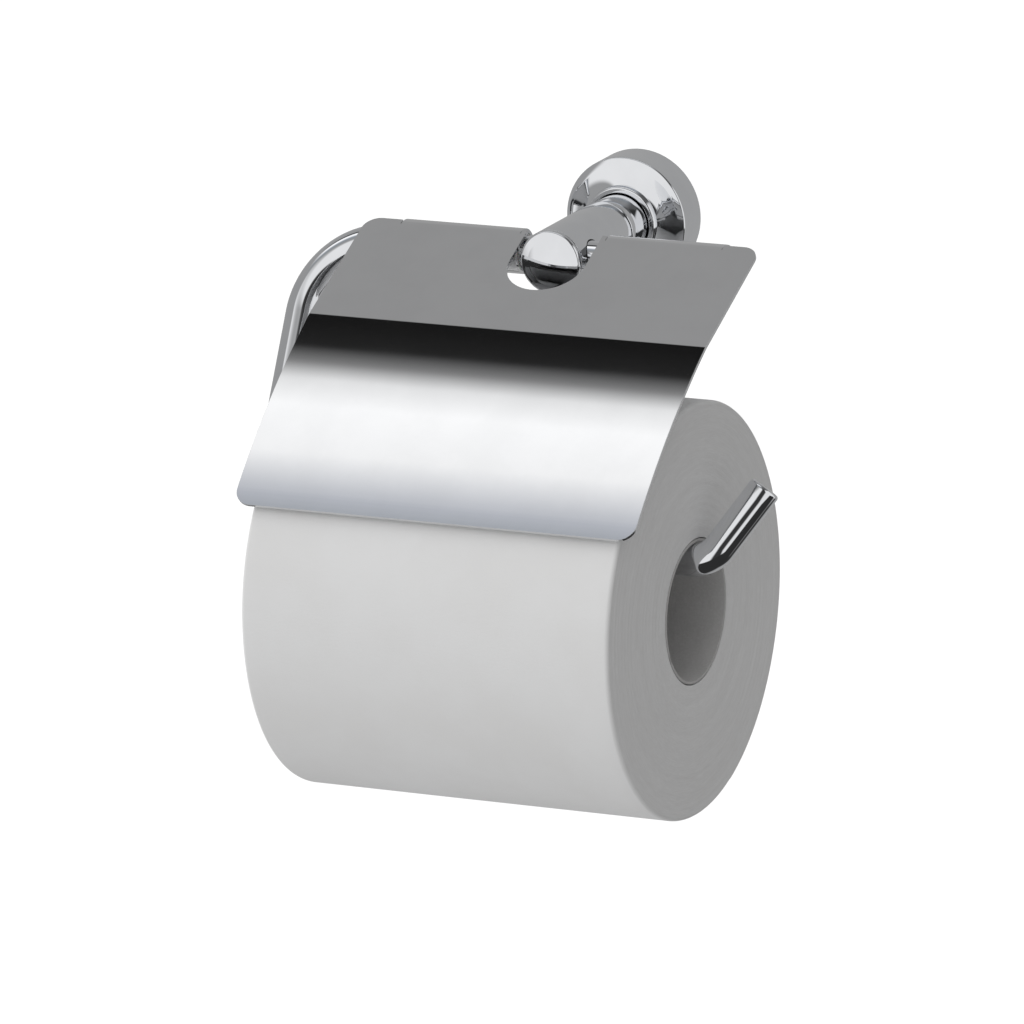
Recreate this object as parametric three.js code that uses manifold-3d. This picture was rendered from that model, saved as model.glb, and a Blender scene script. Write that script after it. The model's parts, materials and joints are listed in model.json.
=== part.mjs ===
// Toilet paper holder: a wall rosette and post, a bent rod, a hinged cover and a roll on the rod.
// Millimetres. +X is right, +Y goes into the wall, +Z is up.
// The origin is the centre of the wall bracket's back face, on the wall's surface.
import * as THREE from "three";
import { mergeVertices } from "three/addons/utils/BufferGeometryUtils.js";
import Module from "manifold-3d";

const wasm = await Module();
wasm.setup();

// ---- Clearances ----
const seatGap = 0.3; // between fixed pieces that touch
const linerGap = 0.15; // running gap inside and outside a hinge liner
const rimGap = 0.6; // between the bracket's rim and the rosette's wall
const sideGap = 0.6; // between the right knuckle and the rod's end cap

// ---- Wall end, sizes along the post are depths from the wall ----
const rosetteRadius = 19;
const rosetteBand = 11.4; // depth of the straight band
const rosetteDepth = 13.4;
const rosetteWall = 1.2;
const rimBevel = { in: 1.4, rise: 0.5 }; // between the band and the cove
const covePull = { out: 2, back: 1.2 }; // of the cove's control point from the collar's edge
const bracketDepth = 6;
const bossRadius = 5.5;
const bossDepth = 9.4;
const edgeBreak = 0.6; // chamfer of the turned pieces' edges
const screwHeadRadius = 3.6;
const screwShankRadius = 1.7;
const screwHeadDepth = 2.4;
const screwLength = 19;
const screwPoint = 3; // length of a screw's tapered end
const screwSeat = 1; // depth where a screw's head starts to widen
const slotLength = 3.6; // of the cross in a screw's head
const slotWidth = 0.7;
const slotDepth = 1.2;
const studStart = 3.5;
const grubRadius = 1.7; // of the screw under the rosette
const grubDepth = 3.3;
const grubLength = 3.2;
const grubInset = 0.4; // of its outer end below the rosette's band
const grubSeatDepth = 2; // of the dent in the bracket's rim that it bears on
const grubKey = { radius: 0.9, depth: 1.4 };

// ---- Post ----
const neckRadius = 9;
const collarRadius = 11.2;
const collarWidth = 1.8;
const collarRound = 0.8; // at the collar's front edge
const studRadius = 3;
const headRadius = 9.4;
const headBack = 26.4;
const capThickness = 1.3;
const capDome = 0.7;
const capChamfer = 0.7;
const spigotRadius = 6.2;
const spigotDepth = 0.8;
const studGrip = 11; // length of stud inside the head
const rodGrubRadius = 2.5;
const rodGrubLength = 2.15;
const rodGrubKey = { radius: 1.3, depth: 1.3 };

// ---- Rod ----
const rodRadius = 4.75;
const rodReach = 53.8; // depth of the top bar's axis
const armClearance = 22.5; // from the roll's end to the arm's axis
const armLength = 86.06; // between the axes of the top bar and the lower bar
const armLean = THREE.MathUtils.degToRad(29); // from straight down, away from the wall
const armBend = 24; // radius of the two large bends, on the rod's axis
const lowerBarInset = 0.69; // from the roll's end, inwards, to where the lower bar turns up
const tipBend = 9;
const tipTurn = THREE.MathUtils.degToRad(60);
const tipLength = 21.38;
const capGrip = 1.4; // length of rod inside its end cap
const capEnd = 1.1; // thickness of the end cap's floor
const ringWidth = 1; // of the open ring beside the left knuckle
const ringOpening = 4;

// ---- Cover ----
const coverOverhang = 5; // past each end of the roll
const sheetThickness = 1;
const linerThickness = 0.6;
const flatLength = 41.5; // from above the hinge to the fold
const flatOverhang = 2; // of the flat part behind the knuckles' crest
const foldRadius = 12;
const foldTurn = THREE.MathUtils.degToRad(5.3);
const skirtLength = 68;
const skirtTurn = THREE.MathUtils.degToRad(16);
const coverCorner = 5;
const knuckleSetback = 11.5; // from the cover's side to a knuckle's outer end
const knuckleTurn = THREE.MathUtils.degToRad(290);
const curlLead = 2; // straight length of a knuckle that lies in the flat part
const notchClearance = 2.5; // between the notch and the head's sides, on average
const notchShift = 0.9; // of the notch's middle to the right of the post's axis
const notchStraight = 12.2; // straight part of the notch's sides
const knuckleInset = 1.7; // from the notch to a knuckle's inner end

// ---- Roll ----
const rollRadius = 60.6;
const rollWidth = 115;
const rollShift = 0; // the roll's middle from the post's axis
const coreRadius = 20.2; // inner
const coreWall = 0.8;
const coreEdge = 0.2;
const rollEdge = 1.2;
const restGap = 0.7; // between the cover's lip and the roll

// ---- Sizes that follow ----
const collarBack = rosetteDepth + seatGap;
const studEnd = headBack + studGrip;
const headSocket = spigotDepth + seatGap; // depth of the recess for the cap's spigot
const rodGrubPoint = rodReach + rodRadius + seatGap;
const rodGrubMouth = rodGrubPoint + rodGrubLength;
const headFront = rodGrubMouth + seatGap + headSocket;
const bracketRadius = rosetteRadius - rosetteWall - rimGap;
const screwOffset = (bossRadius + bracketRadius) / 2; // of the two wall screws, left and right
const linerInner = rodRadius + linerGap;
const linerOuter = linerInner + linerThickness;
const knuckleInner = linerOuter + linerGap;
const knuckleOuter = knuckleInner + sheetThickness;
const notchHalf = headRadius + notchClearance;
const stopRadius = knuckleInner - seatGap; // of the ring and cap beside the liners
const coverWidth = rollWidth + 2 * coverOverhang;
const knuckleEnd = coverWidth / 2 - knuckleSetback; // from the middle to a knuckle's outer end
const leftKnuckle = [-knuckleEnd, notchShift - notchHalf - knuckleInset]; // its two ends
const rightKnuckle = [notchShift + notchHalf + knuckleInset, knuckleEnd];
const armOffset = rollWidth / 2 + armClearance; // from the post's axis to the arm's axis
const lowerBarEnd = rollWidth / 2 - lowerBarInset;
const topBarEnd = knuckleEnd + sideGap + capGrip;
const spindleDrop = coreRadius - rodRadius - seatGap; // the roll hangs on the bar by its core
const lowerBar = {
  depth: rodReach + armLength * Math.sin(armLean),
  height: -armLength * Math.cos(armLean),
};
const roll = { depth: lowerBar.depth, height: lowerBar.height - spindleDrop };

// ---- Materials ----
const finish = (color, roughness, metalness) =>
  new THREE.MeshStandardMaterial({ color, roughness, metalness });
const chrome = finish(0xc9ccd0, 0.06, 1);
const steel = finish(0x8f9294, 0.35, 1);
const zinc = finish(0x9a9c9e, 0.5, 1);
const nylon = finish(0xe9e8e2, 0.5, 0);
const tissue = finish(0xf0f0ef, 0.95, 0);
const card = finish(0xb9b2a8, 0.9, 0);

// ---- Solids ----

// A three.js geometry as a manifold-3d solid, turned outwards if its faces point in.
function solid(geometry) {
  const bare = geometry.clone();
  bare.deleteAttribute("normal");
  bare.deleteAttribute("uv");
  const merged = mergeVertices(bare, 1e-4);
  const triVerts = new Uint32Array(merged.index.array);
  const vertProperties = merged.attributes.position.array;
  const made = new wasm.Manifold(new wasm.Mesh({ numProp: 3, vertProperties, triVerts }));
  if (made.volume() > 0) return made;
  for (let i = 0; i < triVerts.length; i += 3) {
    [triVerts[i + 1], triVerts[i + 2]] = [triVerts[i + 2], triVerts[i + 1]];
  }
  return new wasm.Manifold(new wasm.Mesh({ numProp: 3, vertProperties, triVerts }));
}

function piece(name, material, made) {
  const data = made.getMesh();
  const geometry = new THREE.BufferGeometry();
  geometry.setAttribute("position", new THREE.BufferAttribute(data.vertProperties, 3));
  geometry.setIndex(new THREE.BufferAttribute(data.triVerts, 1));
  geometry.computeVertexNormals();
  const mesh = new THREE.Mesh(geometry, material);
  mesh.name = name;
  return mesh;
}

const minus = (body, ...cuts) => cuts.reduce((left, cut) => left.subtract(cut), body);

// A profile of [radius, distance] points turned about the post's axis, distances from the wall.
function turned(profile, sides = 48) {
  const points = profile.map(([radius, distance]) => new THREE.Vector2(radius, distance));
  return new THREE.LatheGeometry(points, sides).rotateX(Math.PI);
}

// The same about an axis along X through a given depth and height, distances along +X.
function turnedAcross(profile, depth, height, sides = 48) {
  const points = profile.map(([radius, distance]) => new THREE.Vector2(radius, distance));
  return new THREE.LatheGeometry(points, sides)
    .rotateZ(-Math.PI / 2)
    .translate(0, -depth, height);
}

// A straight round bar between two distances along the post's axis, and one across it.
const bar = (radius, from, to, sides = 24) =>
  solid(turned([[0, from], [radius, from], [radius, to], [0, to]], sides));
const barAcross = (radius, from, to, depth, height, sides = 24) =>
  solid(turnedAcross([[0, from], [radius, from], [radius, to], [0, to]], depth, height, sides));

// Moves { ahead } and { turn, radius, steps } from a start, as stations of place and heading.
function walk(start, heading, moves) {
  const stations = [{ at: start.clone(), heading }];
  let at = start.clone();
  for (const move of moves) {
    if (move.ahead) {
      at.x += move.ahead * Math.cos(heading);
      at.y += move.ahead * Math.sin(heading);
      stations.push({ at: at.clone(), heading });
      continue;
    }
    const side = heading + (Math.sign(move.turn) * Math.PI) / 2;
    const centre = new THREE.Vector2(
      at.x + move.radius * Math.cos(side),
      at.y + move.radius * Math.sin(side),
    );
    for (let i = 1; i <= move.steps; i += 1) {
      const swung = (move.turn * i) / move.steps;
      const spoke = side + Math.PI + swung;
      at = new THREE.Vector2(
        centre.x + move.radius * Math.cos(spoke),
        centre.y + move.radius * Math.sin(spoke),
      );
      stations.push({ at: at.clone(), heading: heading + swung });
    }
    heading += move.turn;
  }
  return stations;
}

// A curve that three.js follows through exact stations.
class StationCurve extends THREE.Curve {
  constructor(stations) {
    super();
    this.stations = stations;
  }
  station(u) {
    return this.stations[Math.round(u * (this.stations.length - 1))];
  }
  getPointAt(u, target = new THREE.Vector3()) {
    return target.copy(this.station(u).point);
  }
  getTangentAt(u, target = new THREE.Vector3()) {
    return target.copy(this.station(u).tangent);
  }
}

function disc(radius, sides) {
  const shape = new THREE.Shape();
  for (let i = 0; i < sides; i += 1) {
    const angle = (2 * Math.PI * i) / sides;
    const move = i ? "lineTo" : "moveTo";
    shape[move](radius * Math.cos(angle), radius * Math.sin(angle));
  }
  return shape;
}

// A round plug along Z with its middle on the origin, or a six-sided one for a hex key's socket.
const plug = (radius, length, sides = 16) =>
  new THREE.CylinderGeometry(radius, radius, length, sides).rotateX(Math.PI / 2);
const keySocket = ({ radius, depth }) => plug(radius, 2 * depth, 6);

// ---- Wall end ----

function wallBracket() {
  const body = solid(turned([
    [0, 0],
    [bracketRadius, 0],
    [bracketRadius, bracketDepth - edgeBreak],
    [bracketRadius - edgeBreak, bracketDepth],
    [bossRadius, bracketDepth],
    [bossRadius, bossDepth],
    [0, bossDepth],
  ]));
  const screwHoles = [1, -1].map((side) =>
    solid(turned([
      [0, -1],
      [screwShankRadius + seatGap, -1],
      [screwShankRadius + seatGap, screwSeat - seatGap],
      [screwHeadRadius + seatGap, screwSeat + screwHeadDepth - seatGap],
      [screwHeadRadius + seatGap, bracketDepth + 1],
      [0, bracketDepth + 1],
    ], 24).translate(side * screwOffset, 0, 0)),
  );
  const studHole = bar(studRadius + seatGap, studStart - seatGap, bossDepth + 1);
  const grubSeat = solid(
    plug(grubRadius + seatGap, 2 * grubSeatDepth).translate(0, -grubDepth, -bracketRadius),
  );
  return minus(body, ...screwHoles, studHole, grubSeat);
}

// A countersunk wood screw with a pointed end behind the wall's surface.
function wallScrew(side) {
  const head = screwSeat + screwHeadDepth;
  const body = solid(turned([
    [0, head - screwLength],
    [screwShankRadius, head - screwLength + screwPoint],
    [screwShankRadius, screwSeat],
    [screwHeadRadius, head],
    [0, head],
  ], 24));
  const slot = (width, height) =>
    solid(new THREE.BoxGeometry(width, 2 * slotDepth, height).translate(0, -head, 0));
  const slots = [slot(slotLength, slotWidth), slot(slotWidth, slotLength)];
  return minus(body, ...slots).translate([side * screwOffset, 0, 0]);
}

// A hollow cap whose front sweeps up in a shallow cove to the collar.
function rosette() {
  const hole = neckRadius + seatGap;
  const rim = rosetteRadius - rimBevel.in;
  const lip = collarRadius - seatGap;
  const cove = (shift) =>
    new THREE.QuadraticBezierCurve(
      new THREE.Vector2(rim - shift, rosetteBand + rimBevel.rise - shift),
      new THREE.Vector2(lip + covePull.out, rosetteDepth - covePull.back - shift),
      new THREE.Vector2(lip - shift / 2, rosetteDepth - shift),
    ).getPoints(8).map((point) => [point.x, point.y]);
  const shell = solid(turned([
    [rosetteRadius, 0],
    [rosetteRadius, rosetteBand],
    ...cove(0),
    [hole, rosetteDepth],
    [hole, rosetteDepth - rosetteWall],
    ...cove(rosetteWall).reverse(),
    [rosetteRadius - rosetteWall, rosetteBand - rosetteWall],
    [rosetteRadius - rosetteWall, 0],
    [rosetteRadius, 0],
  ], 64));
  const grubHole = solid(
    plug(grubRadius + seatGap, 5 * rosetteWall).translate(0, -grubDepth, -rosetteRadius),
  );
  return minus(shell, grubHole);
}

function rosetteGrubScrew() {
  const outer = -rosetteRadius + grubInset;
  const body = plug(grubRadius, grubLength).translate(0, -grubDepth, outer + grubLength / 2);
  return minus(solid(body), solid(keySocket(grubKey).translate(0, -grubDepth, outer)));
}

// ---- Post ----

function postCollar() {
  const inner = neckRadius + seatGap;
  const front = collarBack + collarWidth;
  return solid(turned([
    [inner, collarBack],
    [collarRadius - collarRound / 2, collarBack],
    [collarRadius, collarBack + collarRound / 2],
    [collarRadius, front - collarRound],
    [collarRadius - 0.3 * collarRound, front - 0.3 * collarRound],
    [collarRadius - collarRound, front],
    [inner, front],
    [inner, collarBack],
  ]));
}

function postNeck() {
  const back = bossDepth + seatGap;
  const front = headBack - seatGap;
  const body = solid(turned([[0, back], [neckRadius, back], [neckRadius, front], [0, front]]));
  return minus(body, bar(studRadius + seatGap, back - 1, front + 1));
}

function postHead() {
  const body = solid(turned([
    [0, headBack],
    [headRadius - edgeBreak, headBack],
    [headRadius, headBack + edgeBreak],
    [headRadius, headFront],
    [0, headFront],
  ]));
  return minus(
    body,
    bar(studRadius + seatGap, headBack - 1, studEnd + seatGap),
    bar(spigotRadius + seatGap, headFront - headSocket, headFront + 1),
    bar(rodGrubRadius + seatGap, rodReach, headFront),
    barAcross(rodRadius + seatGap, -headRadius - 1, headRadius + 1, rodReach, 0),
  );
}

function headCap() {
  const back = headFront + seatGap;
  const front = back + capThickness;
  const face = headRadius - capChamfer;
  const dome = [];
  for (let i = 0; i <= 6; i += 1) {
    const radius = face * (1 - i / 6);
    dome.push([radius, front + capDome * (1 - (radius / face) ** 2)]);
  }
  return solid(turned([
    [0, back - spigotDepth],
    [spigotRadius, back - spigotDepth],
    [spigotRadius, back],
    [headRadius, back],
    ...dome.map(([radius, distance], i) => (i ? [radius, distance] : [face, front])),
  ]));
}

// A grub screw behind the cap, with its point on the rod.
function rodGrubScrew() {
  const socket = keySocket(rodGrubKey).rotateX(Math.PI / 2).translate(0, -rodGrubMouth, 0);
  return minus(bar(rodGrubRadius, rodGrubPoint, rodGrubMouth), solid(socket));
}

// ---- Rod ----

// Places a point of the rod's own plane: across is along X, down is along the arm.
const onRodPlane = (across, down) =>
  new THREE.Vector3(across, -down * Math.sin(armLean), -down * Math.cos(armLean));

function holderRod() {
  const topBar = topBarEnd + armOffset - armBend;
  const lower = lowerBarEnd + armOffset - armBend;
  const stations = walk(new THREE.Vector2(topBarEnd, 0), Math.PI, [
    { ahead: topBar },
    { turn: -Math.PI / 2, radius: armBend, steps: 12 },
    { ahead: armLength - 2 * armBend },
    { turn: -Math.PI / 2, radius: armBend, steps: 12 },
    { ahead: lower },
    { turn: -tipTurn, radius: tipBend, steps: 7 },
    { ahead: tipLength },
  ]).map(({ at, heading }) => ({
    point: onRodPlane(at.x, at.y).add(new THREE.Vector3(0, -rodReach, 0)),
    tangent: onRodPlane(Math.cos(heading), Math.sin(heading)),
  }));
  return solid(new THREE.ExtrudeGeometry(disc(rodRadius, 24), {
    extrudePath: new StationCurve(stations),
    steps: stations.length - 1,
    bevelEnabled: false,
  }));
}

// A cap over the right end of the top bar, which keeps the cover on it.
function rodEndCap() {
  const from = knuckleEnd + sideGap;
  const floor = topBarEnd + seatGap;
  const end = floor + capEnd;
  return solid(turnedAcross([
    [0, floor],
    [rodRadius + seatGap, floor],
    [rodRadius + seatGap, from],
    [stopRadius, from],
    [stopRadius, end - edgeBreak],
    [stopRadius - edgeBreak, end],
    [0, end],
  ], rodReach, 0, 24));
}

// An open ring on the rod beside the left knuckle.
function retainingRing() {
  const near = -knuckleEnd - sideGap;
  const far = near - ringWidth;
  const inner = rodRadius + linerGap;
  const whole = turnedAcross([
    [inner, far],
    [stopRadius, far],
    [stopRadius, near],
    [inner, near],
    [inner, far],
  ], rodReach, 0, 24);
  const opening = new THREE.BoxGeometry(3 * ringWidth, ringOpening, stopRadius)
    .translate(far, -rodReach, -stopRadius);
  return minus(solid(whole), solid(opening));
}

// ---- Cover ----
// The cover is drawn with its flat part level: x across, forward from the hinge's axis, height.

// The outline of a strip of sheet along stations, as [forward, height] points.
function strip(stations, thickness) {
  const side = (share) =>
    stations.map(({ at, heading }) => [
      at.x - share * thickness * Math.sin(heading),
      at.y + share * thickness * Math.cos(heading),
    ]);
  return [...side(0.5), ...side(-0.5).reverse()];
}

// The outline extruded across the cover between two places.
function across(outline, from, to) {
  const points = outline.map(([forward, height]) => new THREE.Vector2(forward, height));
  const extruded = new THREE.ExtrudeGeometry(new THREE.Shape(points), {
    depth: to - from,
    bevelEnabled: false,
  });
  // Shape x becomes -Y, shape y becomes Z and the extrusion runs along X.
  const turn = new THREE.Matrix4().makeBasis(
    new THREE.Vector3(0, -1, 0),
    new THREE.Vector3(0, 0, 1),
    new THREE.Vector3(1, 0, 0),
  );
  return solid(extruded.applyMatrix4(turn).translate(from, 0, 0));
}

const sheetHeight = knuckleOuter - sheetThickness / 2; // the sheet's middle above the hinge's axis
const sheetStations = walk(new THREE.Vector2(-flatOverhang, sheetHeight), 0, [
  { ahead: flatOverhang + flatLength },
  { turn: -foldTurn, radius: foldRadius, steps: 3 },
  { turn: -skirtTurn, radius: skirtLength / skirtTurn, steps: 10 },
]);
const lip = sheetStations.at(-1);

// The cover leans until the underside of its skirt lies on the roll. Each station would touch at a
// lean given by the triangle of hinge, station and roll axis, and the smallest lean comes first.
function restingLean() {
  const toRoll = new THREE.Vector2(roll.depth - rodReach, roll.height);
  const far = toRoll.length();
  const apart = rollRadius + restGap;
  const below = (point) => Math.atan2(-point.y, point.x); // angle below level
  const leans = sheetStations.map(({ at, heading }) => {
    const under = new THREE.Vector2(
      at.x + (sheetThickness / 2) * Math.sin(heading),
      at.y - (sheetThickness / 2) * Math.cos(heading),
    );
    const reach = under.length();
    const between = Math.acos((reach ** 2 + far ** 2 - apart ** 2) / (2 * reach * far));
    return below(toRoll) - between - below(under);
  });
  return Math.min(...leans.filter(Number.isFinite));
}
const coverLean = restingLean();

// A plan outline cut straight down through part of the cover.
function planCut(outline) {
  const points = outline.map(([x, forward]) => new THREE.Vector2(x, -forward));
  const depth = 2 * (flatLength + skirtLength); // more than the cover's height
  const column = new THREE.ExtrudeGeometry(new THREE.Shape(points), { depth, bevelEnabled: false });
  return solid(column.translate(0, 0, -depth / 2));
}

// The waste outside a rounded corner, in the plane of the sheet at a station.
function cornerWaste(side, station, outward) {
  const waste = new THREE.Shape();
  waste.moveTo(coverCorner + 1, -1);
  waste.lineTo(coverCorner, 0);
  waste.absarc(coverCorner, coverCorner, coverCorner, -Math.PI / 2, -Math.PI, true);
  waste.lineTo(-1, coverCorner + 1);
  waste.lineTo(-1, -1);
  const depth = 8 * sheetThickness;
  const cut = new THREE.ExtrudeGeometry(waste, { depth, bevelEnabled: false, curveSegments: 8 })
    .translate(0, 0, -depth / 2);
  // Local x runs inwards across the cover, local y runs inwards along the sheet.
  const { heading } = station;
  const along = new THREE.Vector3(0, Math.cos(heading), -Math.sin(heading))
    .multiplyScalar(outward);
  const inwards = new THREE.Vector3(-side, 0, 0);
  const normal = new THREE.Vector3().crossVectors(inwards, along);
  const place = new THREE.Matrix4().makeBasis(inwards, along, normal);
  place.setPosition((side * coverWidth) / 2, -station.at.x, station.at.y);
  return solid(cut.applyMatrix4(place));
}

// The round-ended notch that clears the head of the post, open at the back.
function notch() {
  const behind = -flatOverhang - 3 * knuckleOuter;
  const points = [[-notchHalf, behind], [-notchHalf, notchStraight]];
  const steps = 16;
  for (let i = 1; i < steps; i += 1) {
    const angle = Math.PI - (Math.PI * i) / steps;
    points.push([notchHalf * Math.cos(angle), notchStraight + notchHalf * Math.sin(angle)]);
  }
  points.push([notchHalf, notchStraight], [notchHalf, behind]);
  return planCut(points.map(([x, forward]) => [x + notchShift, forward]));
}

function coverSheet() {
  const half = coverWidth / 2;
  let body = across(strip(sheetStations, sheetThickness), -half, half);
  const curl = walk(new THREE.Vector2(curlLead, sheetHeight), Math.PI, [
    { ahead: curlLead },
    { turn: knuckleTurn, radius: sheetHeight, steps: 20 },
  ]);
  const curlOutline = strip(curl, sheetThickness);
  body = minus(body, notch());
  for (const [from, to] of [leftKnuckle, rightKnuckle]) {
    body = body.add(across(curlOutline, from, to));
  }
  for (const side of [-1, 1]) {
    body = minus(body, cornerWaste(side, sheetStations[0], -1), cornerWaste(side, lip, 1));
  }
  return body;
}

function hingeLiner(from, to) {
  return solid(turnedAcross([
    [linerInner, from],
    [linerOuter, from],
    [linerOuter, to],
    [linerInner, to],
    [linerInner, from],
  ], 0, 0, 24));
}

// ---- Roll ----

function ring(inner, outer, edge) {
  const half = rollWidth / 2;
  return solid(turnedAcross([
    [inner, -half],
    [outer - edge, -half],
    [outer, -half + edge],
    [outer, half - edge],
    [outer - edge, half],
    [inner, half],
    [inner, -half],
  ], 0, 0, 72));
}

// ---- Assembly ----

const holder = new THREE.Group();
holder.add(
  piece("wall_bracket", zinc, wallBracket()),
  piece("wall_screw_left", steel, wallScrew(-1)),
  piece("wall_screw_right", steel, wallScrew(1)),
  piece("rosette", chrome, rosette()),
  piece("rosette_grub_screw", steel, rosetteGrubScrew()),
  piece("post_collar", chrome, postCollar()),
  piece("post_neck", chrome, postNeck()),
  piece("post_stud", steel, bar(studRadius, studStart, studEnd)),
  piece("post_head", chrome, postHead()),
  piece("head_cap", chrome, headCap()),
  piece("rod_grub_screw", steel, rodGrubScrew()),
  piece("holder_rod", chrome, holderRod()),
  piece("rod_end_cap", chrome, rodEndCap()),
  piece("retaining_ring", steel, retainingRing()),
);

const cover = new THREE.Group();
cover.position.set(0, -rodReach, 0);
cover.rotation.x = coverLean;
cover.add(
  piece("cover_sheet", chrome, coverSheet()),
  piece("hinge_liner_left", nylon, hingeLiner(...leftKnuckle)),
  piece("hinge_liner_right", nylon, hingeLiner(...rightKnuckle)),
);

const spool = new THREE.Group();
spool.position.set(rollShift, -roll.depth, roll.height);
spool.add(
  piece("roll_core", card, ring(coreRadius, coreRadius + coreWall, coreEdge)),
  piece("paper_roll", tissue, ring(coreRadius + coreWall + seatGap, rollRadius, rollEdge)),
);

const object = new THREE.Group();
object.add(holder, cover, spool);

export default object;
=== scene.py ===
"""Toilet paper holder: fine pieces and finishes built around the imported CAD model, in metres."""

import json
import math

import bmesh
import bpy
from mathutils import Matrix, Vector, noise


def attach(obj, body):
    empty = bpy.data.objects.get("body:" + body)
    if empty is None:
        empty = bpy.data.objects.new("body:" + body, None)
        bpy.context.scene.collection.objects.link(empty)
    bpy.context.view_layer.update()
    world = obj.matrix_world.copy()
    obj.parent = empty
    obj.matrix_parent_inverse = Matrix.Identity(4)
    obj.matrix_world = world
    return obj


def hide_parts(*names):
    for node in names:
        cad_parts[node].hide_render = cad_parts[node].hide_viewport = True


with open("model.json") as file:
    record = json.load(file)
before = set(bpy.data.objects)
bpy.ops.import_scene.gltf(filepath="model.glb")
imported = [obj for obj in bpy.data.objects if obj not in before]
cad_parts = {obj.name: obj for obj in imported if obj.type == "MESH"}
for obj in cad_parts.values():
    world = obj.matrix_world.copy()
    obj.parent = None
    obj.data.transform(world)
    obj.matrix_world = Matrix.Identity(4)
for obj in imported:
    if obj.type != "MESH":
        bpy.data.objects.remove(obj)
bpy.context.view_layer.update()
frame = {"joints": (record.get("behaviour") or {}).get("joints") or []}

MM = 0.001
TAU = 2 * math.pi

# ---- Sizes in millimetres, the same as the CAD model's ----
SEAT_GAP = 0.3
ROSETTE = dict(radius=19.0, band=11.4, depth=13.4, wall=1.2, rim=1.4, rise=0.5, pull_out=2.0,
               pull_back=1.2)
BRACKET = dict(radius=17.2, depth=6.0, boss=5.5, boss_depth=9.4)
SCREW = dict(head=3.6, shank=1.7, head_depth=2.4, length=19.0, seat=1.0, offset=11.35, point=5.0,
             slot=3.2, slot_width=0.75)
GRUB = dict(radius=1.7, depth=3.3, length=3.2, inset=0.4, key=0.9, key_depth=1.4)
NECK_RADIUS = 9.0
COLLAR = dict(radius=11.2, back=13.7, width=1.8)
STUD = dict(radius=3.0, start=3.5, end=37.4)
HEAD = dict(radius=9.4, back=26.4, front=62.4, bore_end=50.0)
CAP = dict(thickness=1.3, dome=0.7, chamfer=0.7, spigot=6.2, spigot_depth=0.8)
ROD_GRUB = dict(radius=2.5, point=58.85, mouth=61.0, key=1.3, key_depth=1.2)
ROD = dict(radius=4.75, reach=53.8, top_end=53.0, offset=80.0, arm=86.06, lean=math.radians(29),
           bend=24.0, lower_end=56.81, tip_bend=9.0, tip_turn=math.radians(60), tip=21.38)
LINER = dict(inner=4.9, outer=5.5)
COVER = dict(width=125.0, sheet=1.0, flat=41.5, overhang=2.0, fold_radius=12.0,
             fold_turn=math.radians(5.3), skirt=68.0, skirt_turn=math.radians(16), corner=5.0,
             height=6.15, knuckle_end=51.0, knuckle_turn=math.radians(290),
             notch_half=11.9, notch_shift=0.9, notch_straight=12.2)
KNUCKLE_STARTS = {-1: 12.7, 1: 14.5}  # of the left and the right one, from the post's axis
SIDE_GAP = 0.6  # between a knuckle and the ring or cap beside it
END_FLOOR = 1.1  # thickness of the end cap's floor
RING = dict(width=1.0, opening=4.0)
COVER_LEAN = math.radians(25.495)
STOP_RADIUS = 5.35  # of the end cap and the open ring
ROLL = dict(radius=60.6, width=115.0, core=20.2, wall=0.8, edge=1.3)

joints = {joint["name"]: joint for joint in frame["joints"]}
HINGE = Vector(joints["cover_hinge"]["pos_m"]) / MM
ROLL_AXIS = Vector(joints["roll_spin"]["pos_m"]) / MM

# ---- Camera ----
CAMERA = dict(azimuth=25.74, elevation=15.68, roll=-2.0, distance=2.682, lens=326.9)
AIM = Vector((-5.55, -83.30, -69.89)) * MM


def make_camera():
    data = bpy.data.cameras.new("camera")
    data.lens = CAMERA["lens"]
    data.sensor_width = 36
    data.clip_start = 0.05
    data.clip_end = 100
    camera = bpy.data.objects.new("camera", data)
    azimuth, elevation = math.radians(CAMERA["azimuth"]), math.radians(CAMERA["elevation"])
    back = Vector((
        math.sin(azimuth) * math.cos(elevation),
        -math.cos(azimuth) * math.cos(elevation),
        math.sin(elevation),
    ))
    turn = (-back).to_track_quat("-Z", "Y").to_matrix()
    spin = Matrix.Rotation(math.radians(CAMERA["roll"]), 3, "Z")
    camera.matrix_world = Matrix.Translation(AIM + back * CAMERA["distance"]) @ (turn @ spin).to_4x4()
    bpy.context.scene.collection.objects.link(camera)
    bpy.context.scene.camera = camera


make_camera()


# ---- Node helpers ----


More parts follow.
